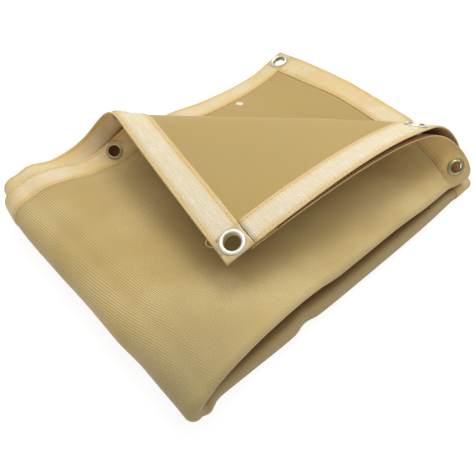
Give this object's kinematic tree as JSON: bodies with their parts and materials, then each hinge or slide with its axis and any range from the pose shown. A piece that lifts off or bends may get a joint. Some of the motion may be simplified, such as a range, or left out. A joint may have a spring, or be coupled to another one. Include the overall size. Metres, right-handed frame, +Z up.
{
  "type": "shade netting",
  "caption": "Fine tan shade net folded in quarters, one corner rolled back over the pile; cream webbing borders with brass eyelets.",
  "frame": {"origin": "middle of the underside of the folded pile's bounding box, on the surface it lies on", "axes": "+X along the side fold, away from the end fold; +Y along the end fold, away from the side fold; +Z up"},
  "size_m": [0.427, 0.3258, 0.1083],
  "materials": {
    "net": "matt fine knit",
    "border_tape": "matt woven tape",
    "eyelet_brass": "bright pressed metal"
  },
  "bodies": {
    "root": {"border_inner_plies": "border_tape", "border_lower_end": "border_tape", "border_outer_plies": "border_tape", "border_upper_end": "border_tape", "eyelet_01": "eyelet_brass", "eyelet_02": "eyelet_brass", "eyelet_03": "eyelet_brass", "eyelet_04": "eyelet_brass", "eyelet_05": "eyelet_brass", "eyelet_06": "eyelet_brass", "eyelet_07": "eyelet_brass", "eyelet_08": "eyelet_brass", "eyelet_09": "eyelet_brass", "eyelet_10": "eyelet_brass", "eyelet_11": "eyelet_brass", "eyelet_12": "eyelet_brass", "panel": "net"}
  },
  "joints": []
}
